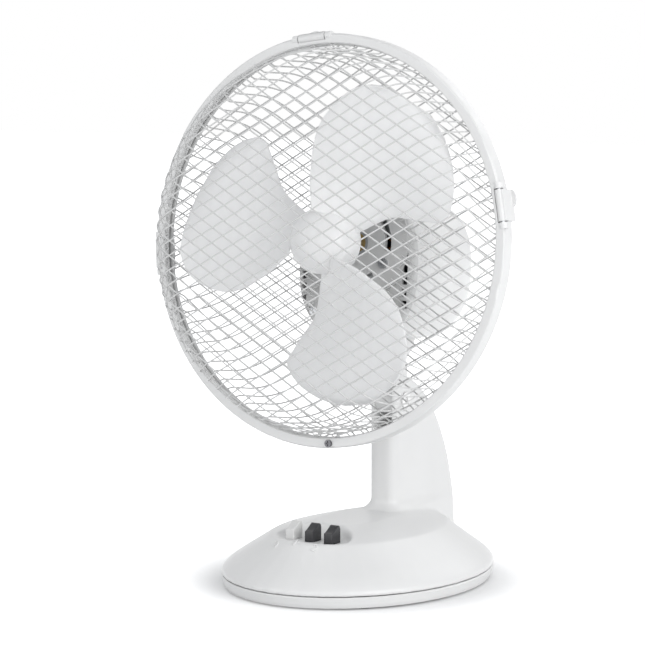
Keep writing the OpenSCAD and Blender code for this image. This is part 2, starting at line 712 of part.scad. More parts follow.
module front_bearing() color(brass) on_shaft() translate([0, 0, front_bracket_z]) difference() {
    cylinder(d = bearing_d, h = bracket_t + 3);
    translate([0, 0, -1]) cylinder(r = shaft_d / 2 + fit, h = 20);
}

module rear_bearing() color(brass) on_shaft() translate([0, 0, rear_bracket_z]) difference() {
    cylinder(d = bearing_d, h = bracket_t + 3);
    translate([0, 0, -1]) cylinder(r = shaft_d / 2 + fit, h = 20);
}

module motor_bolts() color(steel) on_shaft() {
    at_bolts(rear_bracket_z + eps) cylinder(r = 2, h = front_bracket_z + bracket_t - rear_bracket_z);
    at_bolts(front_bracket_z + bracket_t) cylinder(d = 6.4, h = 2);
}

// ================= motor cover =================

function cover_scale(z) = z > -5 ? 1 : pow(1 - pow(min(1, (-5 - z) / cover_round), 2.6), 1 / 2.6);

// rounded outline of the motor cover at z along the shaft
function cover_ring(z, s, inset = 0) = [for (i = [0:39])
    let (a = 9 * i, c = cos(a), q = sin(a))
    [(cover_w / 2 * s - inset) * sign(c) * pow(abs(c), 0.8),
        -cover_drop + (cover_h / 2 * s - inset) * sign(q) * pow(abs(q), 0.8), z]];

cover_stations = [0, 0.18, 0.36, 0.52, 0.67, 0.8, 0.9, 0.965, 0.995];

cover_end = cover_back + cover_round * 0.005;
module cover_solid(inset, front) skin(concat(
    [cover_ring(cover_end + inset, cover_scale(cover_end), inset)],
    [for (k = [7:-1:0]) let (z = -5 - cover_round * cover_stations[k])
        cover_ring(z + inset * cover_stations[k], cover_scale(z), inset)],
    [cover_ring(front, 1, inset)]
));

module cover_post_cut() translate([0, -cover_drop - cover_h / 2 - 20, 0]) rotate([-90, 0, 0])
    cylinder(r = flange_r + 1, h = 20 + cover_drop + cover_h / 2 + flange_y + 4);

module motor_rear_cover() color(white) on_shaft() difference() {
    union() {
        difference() {
            cover_solid(0, cover_seam);
            cover_solid(cover_wall, cover_seam + 1);
        }
        // screw posts inside the seam, run into the wall
        for (p = cover_posts) translate([p[0], p[1], cover_seam - 20]) cylinder(d = 8, h = 20);
    }
    cover_post_cut();
    translate([wheel_x, 0, wheel_fwd]) rotate([-90, 0, 0]) cylinder(r = 2.5 + 0.3, h = 80);
    for (p = cover_posts) translate([p[0], p[1], cover_seam - 14]) cylinder(d = 2.6, h = 20);
    // rows of cooling slots in the back
    for (x = [-3:3]) for (y = [-1:1])
        translate([x * cover_w * 0.087, -cover_drop + y * cover_h * 0.19, cover_back - 2])
            translate([-cover_w * 0.015, -cover_h * 0.07, 0]) cube([cover_w * 0.03, cover_h * 0.14, 22]);
}

cover_posts = [for (sx = [-1, 1]) for (sy = [-1, 1])
    [sx * (cover_w / 2 - 13.5), -cover_drop + sy * cover_h * 0.32]];

// four kidney-shaped air slots round the shaft
module air_slots() for (i = [0:3]) rotate(90 * i - 10) rotate_extrude(angle = 46)
    translate([cover_h * 0.24, 0]) square([cover_h * 0.05, 20]);

module motor_front_cover() color([0.86, 0.86, 0.85]) on_shaft() difference() {
    union() {
        difference() {
            skin([
                cover_ring(cover_seam, 1), cover_ring(cover_front - 2.4, 1),
                cover_ring(cover_front - 0.6, 1, 1), cover_ring(cover_front, 1, 2.6)
            ]);
            skin([for (z = [cover_seam - 1, cover_front - cover_wall]) cover_ring(z, 1, cover_wall)]);
        }
        for (p = cover_posts) translate([p[0], p[1], cover_seam])
            cylinder(d = 8, h = cover_front - cover_seam - 1);
    }
    translate([0, 0, cover_seam]) cylinder(d = bearing_d + 8, h = 20);
    translate([0, 0, cover_seam - 2]) air_slots();
    at_plate_screws(cover_seam) cylinder(r = 2 + fit, h = 20);
    for (p = cover_posts) translate([p[0], p[1], cover_seam - 1]) cylinder(r = 1.8 + fit, h = 20);
    for (p = cover_posts) translate([p[0], p[1], cover_front - 2.4]) cylinder(d = 6.6, h = 20);
    // side vents
    for (s = [-1, 1]) for (k = [-3:1])
        translate([s * (cover_w / 2 - 6) - 2, -cover_drop + 8 * k - 2.6, cover_front - 5])
            cube([4, 5.2, 10]);
}

module cover_screws() color(steel) on_shaft()
    for (p = cover_posts) translate([p[0], p[1], cover_front - 2.4]) {
        difference() {
            cylinder(d = 6.2, h = 1.8);
            for (a = [0, 90]) rotate(a) translate([-2, -0.4, 1]) cube([4, 0.8, 2]);
        }
        translate([0, 0, -14]) cylinder(d = 2.5, h = 14 + eps);
    }

// pull-up knob of the swing clutch, its rod on the worm wheel's spindle
knob_seat = -cover_drop + cover_h / 2;
module swing_knob() color(white) on_shaft() translate([wheel_x, 0, wheel_fwd]) rotate([-90, 0, 0]) {
    translate([0, 0, wheel_h / 2 + 0.3]) cylinder(r = 2.5, h = knob_seat - wheel_h / 2 + 2);
    translate([0, 0, knob_seat]) rotate_extrude() polygon([
        [0, 0.4], [5.2, 0.4], [5.6, 1], [5.2, 5], [7.6, 7], [8, 8],
        [8, 10.5], [7.4, 11.6], [5.5, 12.2], [0, 12.6]
    ]);
}

// ================= guards =================

// a pan of depth h: length of its side wall, radius of its flat face, radius of its flat blank
function wall_run(h) = (h - shoulder_r * (1 - cos(shoulder_angle))) / sin(shoulder_angle);
function face_r(h) = rim_r - rim_wire_r - wire_r * 1.1 - wire_lift - 0.1
    - wall_run(h) * cos(shoulder_angle) - shoulder_r * sin(shoulder_angle);
function blank_r(h) = face_r(h) + shoulder_run + wall_run(h);

// places a point of the flat wire sheet on the pressed pan, lifted off its surface by lift
function pan(x, y, h, lift) = let (q = norm([x, y]), f = face_r(h),
    a = min(shoulder_angle, max(0, (q - f) / shoulder_r * 180 / PI)),
    run = max(0, q - f - shoulder_run),
    r = min(q, f) + shoulder_r * sin(a) + run * cos(shoulder_angle) + lift * sin(a),
    z = h - shoulder_r * (1 - cos(a)) - run * sin(shoulder_angle) + lift * cos(a))
    [x / q * r, y / q * r, z];

// three-sided wire through a row of points
module bent_wire(path) {
    n = len(path);
    rings = [for (i = [0:n - 1])
        let (t = path[min(i + 1, n - 1)] - path[max(i - 1, 0)], d = t / norm(t),
            c = path[i], out = [c[0], c[1], 40] / norm([c[0], c[1], 40]),
            s = cross(d, out) / norm(cross(d, out)), u = cross(d, s))
        [for (k = [0:2]) c + wire_r * 1.1 * (cos(120 * k + 90) * s + sin(120 * k + 90) * u)]];
    skin(rings);
}

// one straight wire of a set in a pan of depth h, off the centre by d; hole leaves out the middle
module wire_at(d, h, hole, lift) {
    half = sqrt(blank_r(h) * blank_r(h) - d * d);
    flat = abs(d) < face_r(h) - 2 ? sqrt(face_r(h) * face_r(h) - d * d) : 0;
    gap = abs(d) < hole ? sqrt(hole * hole - d * d) : 0;
    if (flat > 0) {
        if (gap > 0)
            for (s = [0, 180]) rotate(s) translate([gap, s == 0 ? d : -d, h + lift])
                rotate([0, 90, 0]) cylinder(r = wire_r, h = flat - gap - wire_gap);
        else
            translate([wire_gap - flat, d, h + lift]) rotate([0, 90, 0])
                cylinder(r = wire_r, h = 2 * (flat - wire_gap));
        for (s = [1, -1]) bent_wire([for (k = [0:5])
            let (q = k < 5 ? face_r(h) + shoulder_run * k / 4 : blank_r(h))
            pan(s * sqrt(q * q - d * d), d, h, lift)]);
    } else
        // a wire beside the flat face, in three lengths
        for (t = [[-1, -0.45], [-0.45, 0.45], [0.45, 1]])
            bent_wire([for (k = [0:4]) pan(half * (t[0] + (t[1] - t[0]) * k / 4) * 0.999, d, h, lift)]);
}

// both sets of wires; hole is the radius that stays free in the middle
module wire_mesh(h, hole) {
    rows = floor((blank_r(h) - 20) / wire_pitch - 0.5);
    for (side = [-1, 1]) rotate(side * wire_angle)
        for (i = [0:rows]) for (s = [-1, 1]) wire_at(s * (i + 0.5) * wire_pitch, h, hole, side * wire_lift);
}

module front_guard_mesh() color(white) on_shaft() translate([0, 0, ring_fwd + front_rim])
    wire_mesh(guard_depth - front_rim, 0);

module rear_guard_mesh() color(white) on_shaft() translate([0, 0, ring_fwd + rear_rim]) mirror([0, 0, 1])
    wire_mesh(guard_depth + rear_rim, plate_r - 3);

module rear_guard_plate() color([0.82, 0.82, 0.81]) on_shaft() translate([0, 0, cover_front]) difference() {
    cylinder(r = plate_r, h = plate_t);
    translate([0, 0, -1]) cylinder(d = bearing_d + 8, h = 10);
    translate([0, 0, -2]) air_slots();
    at_plate_screws(-1) cylinder(r = 2 + fit, h = 20);
}

module guard_plate_screws() color(steel) on_shaft() at_plate_screws(cover_front + plate_t) {
    difference() {
        cylinder(d = 7, h = 2);
        for (a = [0, 90]) rotate(a) translate([-2, -0.4, 1]) cube([4, 0.8, 2]);
    }
    translate([0, 0, front_bracket_z + 0.5 - cover_front - plate_t])
        cylinder(d = 4, h = cover_front + plate_t - front_bracket_z - 0.5 + eps);
}

// welded rim wire of a guard, at z from the ring's middle
module guard_rim(z) color(white) on_shaft() translate([0, 0, ring_fwd + z])
    rotate_extrude($fn = 96) translate([rim_r, 0]) circle(r = rim_wire_r, $fn = 24);

module front_guard_rim() guard_rim(front_rim);
module rear_guard_rim() guard_rim(rear_rim);

module retaining_ring() color(white) on_shaft() translate([0, 0, ring_fwd]) difference() {
    union() {
        rotate_extrude($fn = 96) translate([ring_r, 0]) polygon([
            [-ring_wall, -ring_l / 2], [-0.5, -ring_l / 2], [0, -ring_l / 2 + 0.6], [0, ring_l / 2 - 1.2],
            [-1.2, ring_l / 2], [-ring_flange + 0.6, ring_l / 2], [-ring_flange, ring_l / 2 - 0.6],
            [-ring_flange, ring_l / 2 - ring_flange_t], [-ring_wall, ring_l / 2 - ring_flange_t]
        ]);
        // knuckles for the clips' pins
        for (a = clip_angles) rotate(a) along_pin(clip_l) cylinder(r = clip_barrel_r, h = clip_l);
    }
    for (a = clip_angles) rotate(a) {
        along_pin(clip_own + 2 * air) cylinder(r = clip_barrel_r + air, h = clip_own + 2 * air);
        along_pin(clip_l + 1) cylinder(d = clip_pin_d, h = clip_l + 1);
    }
    rotate(screw_angle) translate([ring_r - ring_screw_in, 0, -20]) cylinder(r = 1.25 + fit, h = 40);
}

// places a cylinder of length l on a clip's pin, centred
module along_pin(l) translate([clip_pin_r, l / 2, clip_pin_z]) rotate([90, 0, 0]) children();

// clip lever: barrel on the pin, strap over the ring, hook behind the rear rim, round thumb tab
module clip(a) color(white) on_shaft() translate([0, 0, ring_fwd]) rotate(a) difference() {
    union() {
        translate([0, clip_own / 2, 0]) rotate([90, 0, 0]) linear_extrude(clip_own) union() {
            translate([clip_pin_r, clip_pin_z]) circle(r = clip_barrel_r);
            translate([ring_r + air, -ring_l / 2 - clip_drop])
                square([clip_t, ring_l / 2 + clip_drop + clip_pin_z + 1.6]);
            translate([ring_r - 6, -ring_l / 2 - clip_drop - clip_t]) square([6 + air + clip_t, clip_t]);
        }
        translate([ring_r + clip_t, clip_own * 0.22, -ring_l / 2 - clip_drop - clip_t])
            cylinder(r = clip_own * 0.28, h = 1.6);
    }
    along_pin(clip_l) cylinder(r = clip_pin_d / 2 + fit, h = clip_l);
}

module clip_top() clip(clip_angles[0]);
module clip_right() clip(clip_angles[1]);
module clip_left() clip(clip_angles[2]);

module clip_pins() color(steel) on_shaft() translate([0, 0, ring_fwd]) for (a = clip_angles) rotate(a)
    along_pin(clip_l) cylinder(d = clip_pin_d, h = clip_l);

module ring_screw() color(steel) on_shaft() translate([0, 0, ring_fwd]) rotate(screw_angle)
    translate([ring_r - ring_screw_in, 0, 0]) {
        translate([0, 0, ring_l / 2]) difference() {
            cylinder(d = 5, h = 1.6);
            for (a = [0, 90]) rotate(a) translate([-1.6, -0.4, 0.8]) cube([3.2, 0.8, 2]);
        }
        translate([0, 0, -ring_l / 2 - 3]) cylinder(d = 2.5, h = ring_l + 3 + eps);
    }

module ring_nut() color(steel) on_shaft() translate([0, 0, ring_fwd]) rotate(screw_angle)
    translate([ring_r - ring_screw_in, 0, -ring_l / 2 - 2]) difference() {
        hex(5, 2);
        translate([0, 0, -1]) cylinder(r = 1.27, h = 6);
    }

// ================= blade =================

// edge angles of one blade at shares of its radius: [share of tip radius, trailing, leading]
blade_edges = [
    [0.19, 16, 92], [0.32, 20, 95], [0.45, 20, 94], [0.57, 15, 92.5], [0.69, 11.5, 89],
    [0.78, 10.5, 84.5], [0.86, 17, 80], [0.92, 27, 76], [0.965, 38, 71], [0.99, 49, 66]
];

// height of the blade's middle surface along the shaft, at share s of the tip radius and
// share c across the blade from its rear edge to its front edge
function blade_height(s, c) = let (pitch = 27 - 10 * s, camber = 5 * s)
    hub_z + 3 + 1.5 * s + pitch * c + camber * 4 * c * (1 - c) * (0.5 - c * 0.3);

// point of the blade's skin at edge entry e and share c across it; side is -1 below and 1 above
function blade_point(e, c, side) = let (r = e[0] * blade_d / 2, a = e[1] + (e[2] - e[1]) * c)
    [r * cos(a), r * sin(a), blade_height(e[0], c) + side * blade_t * (0.175 + 1.3 * c * (1 - c))];

module blade() skin([for (e = blade_edges) concat(
    [for (k = [0:6]) blade_point(e, k / 6, -1)],
    [for (k = [6:-1:0]) blade_point(e, k / 6, 1)]
)]);

module fan_blade() color([0.9, 0.9, 0.9]) on_shaft() {
    difference() {
        union() {
            for (i = [0:blade_count - 1]) rotate(360 / blade_count * i) blade();
            // spinner: straight skirt with a domed nose
            translate([0, 0, hub_z]) rotate_extrude($fn = 72) hub_profile(0);
        }
        translate([0, 0, hub_z]) rotate_extrude($fn = 72) hub_profile(hub_wall);
    }
    difference() {
        translate([0, 0, hub_z + 1]) {
            cylinder(d = hub_core_d, h = hub_l - 3);
            for (a = [0:60:300]) rotate(a) translate([0, -0.8, 2]) cube([hub_d / 2 - 1, 1.6, hub_l - 16]);
        }
        translate([0, 0, hub_z - 1]) cylinder(d = shaft_d, h = hub_l - 6);
        translate([0, 0, hub_z + 6]) rotate([0, 90, 0]) cylinder(d = pin_d, h = 30, center = true);
    }
}

module hub_profile(inset) polygon(concat(
    [[0, inset > 0 ? -1 : 0], [hub_d / 2 - inset, inset > 0 ? -1 : 0], [hub_d / 2 - inset, hub_l * 0.5]],
    [for (k = [1:7]) let (a = 90 * k / 7)
        [(hub_d / 2 - inset) * cos(a), hub_l * 0.5 + (hub_l * 0.5 - inset) * sin(a)]]
));

module blade_pin() color(steel) on_shaft() translate([0, 0, hub_z + 6]) rotate([0, 90, 0])
    cylinder(d = pin_d, h = hub_core_d + 1, center = true);

// ================= drawing =================
stand_housing();
base_plate();
base_screws();
rubber_feet();
switch_block();
switch_screws();
key_off();
key_low();
key_high();
neck();
tilt_bolt();
tilt_nut();
pivot_post();
thrust_washer();
post_circlip();
gearbox_housing();
gearbox_screws();
worm_gear_wheel();
swing_crank_gear();
swing_link();
motor_shaft();
rotor_core();
stator_core();
stator_coils();
front_bracket();
rear_bracket();
front_bearing();
rear_bearing();
motor_bolts();
motor_front_cover();
motor_rear_cover();
cover_screws();
swing_knob();
rear_guard_mesh();
rear_guard_plate();
rear_guard_rim();
guard_plate_screws();
front_guard_mesh();
front_guard_rim();
retaining_ring();
ring_screw();
ring_nut();
clip_top();
clip_right();
clip_left();
clip_pins();
fan_blade();
blade_pin();
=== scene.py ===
import bpy
import math
from mathutils import Matrix, Vector


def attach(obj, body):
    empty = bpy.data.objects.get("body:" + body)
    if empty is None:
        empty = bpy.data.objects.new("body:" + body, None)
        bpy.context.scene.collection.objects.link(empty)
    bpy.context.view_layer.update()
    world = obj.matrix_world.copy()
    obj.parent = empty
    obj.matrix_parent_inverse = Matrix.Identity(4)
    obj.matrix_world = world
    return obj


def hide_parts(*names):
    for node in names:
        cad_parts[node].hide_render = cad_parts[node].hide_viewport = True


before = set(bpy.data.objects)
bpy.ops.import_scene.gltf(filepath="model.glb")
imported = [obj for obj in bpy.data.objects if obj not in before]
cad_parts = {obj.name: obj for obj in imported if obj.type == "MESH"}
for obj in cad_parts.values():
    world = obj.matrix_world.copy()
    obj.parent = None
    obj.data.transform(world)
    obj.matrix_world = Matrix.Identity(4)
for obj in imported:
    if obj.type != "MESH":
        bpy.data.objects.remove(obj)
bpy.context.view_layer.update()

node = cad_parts
scene = bpy.context.scene
bpy.ops.object.select_all(action="DESELECT")

# ---------------------------------------------------------------- stage
# A white table top in soft daylight. The strongest lamp stands low on the right, weaker
# ones on the left, in front and behind. Near the fan the table is painted darker, a painted
# shade round its foot that fades out away from it.

scene.view_settings.view_transform = "Standard"

lens_data = bpy.data.cameras.new("lens")
lens_data.lens = 137.97
lens_data.sensor_width = 36
lens_data.clip_end = 20
camera = bpy.data.objects.new("camera", lens_data)
scene.collection.objects.link(camera)
camera_turn, camera_rise = math.radians(33.314), math.radians(6.311)
camera.location = (0.89813, -1.41204, 0.36249)
camera.rotation_euler = (math.pi / 2 - camera_rise, 0, camera_turn)
scene.camera = camera


def seen_or_mirrored(tree):
    """1 for rays from the camera and for those that leave gloss or glass, else 0."""
    ray = tree.nodes.new("ShaderNodeLightPath")
    seen = ray.outputs["Is Camera Ray"]
    for way in ("Is Glossy Ray", "Is Transmission Ray"):
        either = tree.nodes.new("ShaderNodeMath")
        either.operation = "MAXIMUM"
        tree.links.new(seen, either.inputs[0])
        tree.links.new(ray.outputs[way], either.inputs[1])
        seen = either.outputs[0]
    return seen


world = bpy.data.worlds.new("daylight")
scene.world = world
world.use_nodes = True
sky = world.node_tree
sky.nodes.clear()
room_light = sky.nodes.new("ShaderNodeBackground")
room_light.inputs["Color"].default_value = (0.95, 0.97, 1, 1)
room_light.inputs["Strength"].default_value = 0.54
backdrop = sky.nodes.new("ShaderNodeBackground")
backdrop.inputs["Color"].default_value = (1, 1, 1, 1)
pick_sky = sky.nodes.new("ShaderNodeMixShader")
sky_out = sky.nodes.new("ShaderNodeOutputWorld")
sky.links.new(seen_or_mirrored(sky), pick_sky.inputs["Fac"])
sky.links.new(room_light.outputs[0], pick_sky.inputs[1])
sky.links.new(backdrop.outputs[0], pick_sky.inputs[2])
sky.links.new(pick_sky.outputs[0], sky_out.inputs["Surface"])

lamps_aim = Vector((0, 0, 0.18))
for lamp_name, place, size, watts in (
        ("lamp_right", (1.8, -0.6, 0.7), 1.2, 18),
        ("lamp_left", (-0.9, -1.7, 0.6), 1.4, 6.5),
        ("lamp_front", (0.8, -1.8, 0.9), 1.4, 5),
        ("lamp_back", (0.3, 1.6, 1.5), 1.2, 5)):
    lamp_data = bpy.data.lights.new(lamp_name, "AREA")
    lamp_data.size = size
    lamp_data.energy = watts
    lamp = bpy.data.objects.new(lamp_name, lamp_data)
    scene.collection.objects.link(lamp)
    lamp.location = place
    lamp.rotation_euler = (lamps_aim - Vector(place)).to_track_quat("-Z", "Y").to_euler()

# painted shade: the table's glow is held back round the fan, which darkens the table near its
# foot; the glow grows away from the fan until the table is as white as the backdrop
glow_starts, glow_full = 0.09, 0.165
glow_in_painted_shade = 0.06
bpy.ops.mesh.primitive_plane_add(size=14, location=(0, 0, 0))
table = bpy.context.object
table.name = "table"
table_white = bpy.data.materials.new("table_white")
table_white.use_nodes = True
tree = table_white.node_tree
tree.nodes.clear()
matt = tree.nodes.new("ShaderNodeBsdfDiffuse")
matt.inputs["Color"].default_value = (0.86, 0.86, 0.86, 1)
on_table = tree.nodes.new("ShaderNodeTexCoord")
from_fan = tree.nodes.new("ShaderNodeVectorMath")
from_fan.operation = "LENGTH"
painted_shade_fade = tree.nodes.new("ShaderNodeMapRange")
painted_shade_fade.inputs["From Min"].default_value = glow_starts
painted_shade_fade.inputs["From Max"].default_value = glow_full
painted_shade_fade.inputs["To Min"].default_value = glow_in_painted_shade
painted_shade_fade.inputs["To Max"].default_value = 1
glow = tree.nodes.new("ShaderNodeEmission")
no_glow = tree.nodes.new("ShaderNodeEmission")
no_glow.inputs["Strength"].default_value = 0
pick_glow = tree.nodes.new("ShaderNodeMixShader")
both = tree.nodes.new("ShaderNodeAddShader")
table_out = tree.nodes.new("ShaderNodeOutputMaterial")
tree.links.new(on_table.outputs["Object"], from_fan.inputs[0])
tree.links.new(from_fan.outputs["Value"], painted_shade_fade.inputs["Value"])
tree.links.new(painted_shade_fade.outputs["Result"], glow.inputs["Strength"])
tree.links.new(seen_or_mirrored(tree), pick_glow.inputs["Fac"])
tree.links.new(no_glow.outputs[0], pick_glow.inputs[1])
tree.links.new(glow.outputs[0], pick_glow.inputs[2])
tree.links.new(matt.outputs[0], both.inputs[0])
tree.links.new(pick_glow.outputs[0], both.inputs[1])
tree.links.new(both.outputs[0], table_out.inputs["Surface"])
table.data.materials.append(table_white)

# ---------------------------------------------------------------- base and column
# The stand is one ABS moulding: a domed oval base that runs up into a fin-shaped column.
# White, half glossy, with the fine even grain of a spark-eroded mould.


def moulded(name, colour, roughness, grain=0.00035, depth=0.00002, mottle=0.03):
    """Moulded plastic: fine grain in relief, and gloss and shade that drift a little."""
    grain_of_noise = 0.35  # the usual grain of a noise texture at scale 1
    patches_per_metre = 38
    gloss_drift = 0.06
    material = bpy.data.materials.new(name)
    material.use_nodes = True
    tree = material.node_tree
    shader = tree.nodes["Principled BSDF"]
    shader.inputs["Specular IOR Level"].default_value = 0.5
    place = tree.nodes.new("ShaderNodeTexCoord")
    fine = tree.nodes.new("ShaderNodeTexNoise")
    fine.inputs["Scale"].default_value = grain_of_noise / grain
    fine.inputs["Detail"].default_value = 3
    relief = tree.nodes.new("ShaderNodeBump")
    relief.inputs["Distance"].default_value = depth
    relief.inputs["Strength"].default_value = 0.6
    broad = tree.nodes.new("ShaderNodeTexNoise")
    broad.inputs["Scale"].default_value = patches_per_metre
    broad.inputs["Detail"].default_value = 5
    gloss = tree.nodes.new("ShaderNodeMapRange")
    gloss.inputs["To Min"].default_value = roughness - gloss_drift
    gloss.inputs["To Max"].default_value = roughness + gloss_drift
    shade = tree.nodes.new("ShaderNodeValToRGB")
    shade.color_ramp.elements[0].position = 0.3
    shade.color_ramp.elements[0].color = [c * (1 - mottle) for c in colour] + [1]
    shade.color_ramp.elements[1].position = 0.7
    shade.color_ramp.elements[1].color = list(colour) + [1]
    for texture in (fine, broad):
        tree.links.new(place.outputs["Object"], texture.inputs["Vector"])
    tree.links.new(fine.outputs["Fac"], relief.inputs["Height"])
    tree.links.new(relief.outputs["Normal"], shader.inputs["Normal"])
    tree.links.new(broad.outputs["Fac"], gloss.inputs["Value"])
    tree.links.new(gloss.outputs["Result"], shader.inputs["Roughness"])
    tree.links.new(broad.outputs["Fac"], shade.inputs["Fac"])
    tree.links.new(shade.outputs["Color"], shader.inputs["Base Color"])
    return material


def only(piece):
    """Selects one piece and makes it the active one."""
    bpy.ops.object.select_all(action="DESELECT")
    piece.select_set(True)
    bpy.context.view_layer.objects.active = piece


def welded_copy(name, source):
    """A copy of a solid with its loose triangles welded, and smooth across soft edges."""
    piece = bpy.data.objects.new(name, node[source].data.copy())
    scene.collection.objects.link(piece)
    only(piece)
    bpy.ops.object.mode_set(mode="EDIT")
    bpy.ops.mesh.select_all(action="SELECT")
    bpy.ops.mesh.remove_doubles(threshold=0.000005)
    bpy.ops.mesh.dissolve_limited(angle_limit=math.radians(0.4))
    bpy.ops.object.mode_set(mode="OBJECT")
    bpy.ops.object.shade_smooth_by_angle(angle=math.radians(35))
    # broad faces set the shading, so that narrow ones beside them show no streaks
    even = piece.modifiers.new("even", "WEIGHTED_NORMAL")
    even.mode = "FACE_AREA_WITH_ANGLE"
    even.keep_sharp = True
    bpy.ops.object.modifier_apply(modifier=even.name)
    return piece


def dress(piece, body, slot, material, *stands_for):
    """Gives a piece its finish, its body and the solids that it stands for."""
    piece.data.materials.clear()
    piece.data.materials.append(material)
    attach(piece, body)
    if stands_for:
        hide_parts(*stands_for)


white_abs = moulded("white_abs", (0.78, 0.78, 0.775), 0.32)
housing = welded_copy("stand_shell", "stand_housing")
# the moulding's corners and the join of fin and dome are blended, as the mould's are
blend = housing.modifiers.new("blend", "REMESH")
blend.mode = "VOXEL"
blend.voxel_size = 0.00125
blend.use_smooth_shade = True
bpy.ops.object.modifier_apply(modifier=blend.name)
soften = housing.modifiers.new("soften", "SMOOTH")
soften.factor = 0.5
soften.iterations = 7
bpy.ops.object.modifier_apply(modifier=soften.name)
dress(housing, "stand", "white_shell", white_abs, "stand_housing")

# the speeds stand in low relief on the slope, one in front of each key
numeral_size = 0.0085
numeral_relief = 0.00045
numeral_edge = 0.0001
key_pitch = 0.0152
numerals_left = 0.001
numerals_front = 0.0768
above_base = 0.2
for column, figure in enumerate("012"):
    bpy.ops.object.text_add(location=(0, 0, 0))
    numeral = bpy.context.object
    numeral.name = "numeral_" + figure
    numeral.data.body = figure
    numeral.data.size = numeral_size
    numeral.data.align_x = "CENTER"
    numeral.data.align_y = "CENTER"
    numeral.data.extrude = numeral_relief
    numeral.data.bevel_depth = numeral_edge
    only(numeral)
    bpy.ops.object.convert(target="MESH")
    numeral = bpy.context.object
    # each one is laid on the slope straight below its place, its foot towards the front
    over = Vector(((column - 1) * key_pitch - numerals_left, -numerals_front, above_base))
    _, on_slope, upright, _ = housing.ray_cast(over, Vector((0, 0, -1)))
    sideways = Vector((0, 1, 0)).cross(upright).normalized()
    turn = Matrix((sideways, upright.cross(sideways), upright)).transposed().to_4x4()
    numeral.data.transform(Matrix.Translation(on_slope) @ turn)
    dress(numeral, "stand", "white_shell", white_abs)

# ---------------------------------------------------------------- base plate and feet
# A shallow white tray closes the base from below. Four screws with cross recesses hold
# it, and four black rubber feet sit glued in its round pockets.

tray = welded_copy("base_tray", "base_plate")
dress(tray, "stand", "white_shell", white_abs, "base_plate")

foot_rubber = moulded("foot_rubber", (0.03, 0.03, 0.032), 0.75,
                      grain=0.0006, depth=0.00004, mottle=0.2)
feet = welded_copy("feet", "rubber_feet")
dress(feet, "stand", "foot_rubber", foot_rubber, "rubber_feet")


def bright_metal(name, colour, roughness, brushed=0):
    """Bare or plated metal with faint machining marks and patchy shine."""
    marks_per_metre = 900
    darkest_mark = 0.8
    smoother, rougher = 0.08, 0.12
    material = bpy.data.materials.new(name)
    material.use_nodes = True
    tree = material.node_tree
    shader = tree.nodes["Principled BSDF"]
    shader.inputs["Metallic"].default_value = 1
    place = tree.nodes.new("ShaderNodeTexCoord")
    stretch = tree.nodes.new("ShaderNodeMapping")
    stretch.inputs["Scale"].default_value = (1, 1, 1 + brushed)
    marks = tree.nodes.new("ShaderNodeTexNoise")
    marks.inputs["Scale"].default_value = marks_per_metre
    marks.inputs["Detail"].default_value = 4
    relief = tree.nodes.new("ShaderNodeBump")
    relief.inputs["Distance"].default_value = 0.00002
    relief.inputs["Strength"].default_value = 0.5
    gloss = tree.nodes.new("ShaderNodeMapRange")
    gloss.inputs["To Min"].default_value = roughness - smoother
    gloss.inputs["To Max"].default_value = roughness + rougher
    shade = tree.nodes.new("ShaderNodeValToRGB")
    shade.color_ramp.elements[0].color = [c * darkest_mark for c in colour] + [1]
    shade.color_ramp.elements[1].color = list(colour) + [1]
    tree.links.new(place.outputs["Object"], stretch.inputs["Vector"])
    tree.links.new(stretch.outputs["Vector"], marks.inputs["Vector"])
    tree.links.new(marks.outputs["Fac"], relief.inputs["Height"])
    tree.links.new(relief.outputs["Normal"], shader.inputs["Normal"])
    tree.links.new(marks.outputs["Fac"], gloss.inputs["Value"])
    tree.links.new(gloss.outputs["Result"], shader.inputs["Roughness"])
    tree.links.new(marks.outputs["Fac"], shade.inputs["Fac"])
    tree.links.new(shade.outputs["Color"], shader.inputs["Base Color"])
    return material


def finish_solids(material, *names):
    """Gives solids that already have the right shape their real finish."""
    for name in names:
        node[name].data.materials.clear()
        node[name].data.materials.append(material)


zinc_plate = bright_metal("zinc_plate", (0.62, 0.63, 0.65), 0.32)
finish_solids(zinc_plate, "base_screws")

# ---------------------------------------------------------------- speed keys
# Three wedge-shaped keys stand in the dish, off in white and the two speeds in dark grey.
# Their stems go down into the key switch, a black block screwed under the dish.

key_white = moulded("key_white", (0.72, 0.72, 0.71), 0.3)
key_grey = moulded("key_grey", (0.03, 0.03, 0.033), 0.3)
switch_black = moulded("switch_black", (0.03, 0.03, 0.032), 0.5)


def key_cap(name, source, body, material, slot):
    """A key with its edges rounded for the fingertip."""
    cap = welded_copy(name, source)
    rounded = cap.modifiers.new("soft_edges", "BEVEL")
    rounded.width = 0.0009
    rounded.segments = 4
    rounded.limit_method = "ANGLE"
    rounded.angle_limit = math.radians(32)
    bpy.ops.object.modifier_apply(modifier=rounded.name)
    bpy.ops.object.shade_smooth_by_angle(angle=math.radians(40))
    dress(cap, body, slot, material, source)


key_cap("off_key_cap", "key_off", "off_key", key_white, "key_white")
key_cap("low_key_cap", "key_low", "low_key", key_grey, "key_grey")
key_cap("high_key_cap", "key_high", "high_key", key_grey, "key_grey")
finish_solids(switch_black, "switch_block")
finish_solids(zinc_plate, "switch_screws")

# ---------------------------------------------------------------- neck, tilt and swing pivots
# The white neck leans in the column's slot on a steel bolt. A ground steel post stands in
# its flange, and the head turns on it over a nylon washer, held by a spring circlip.

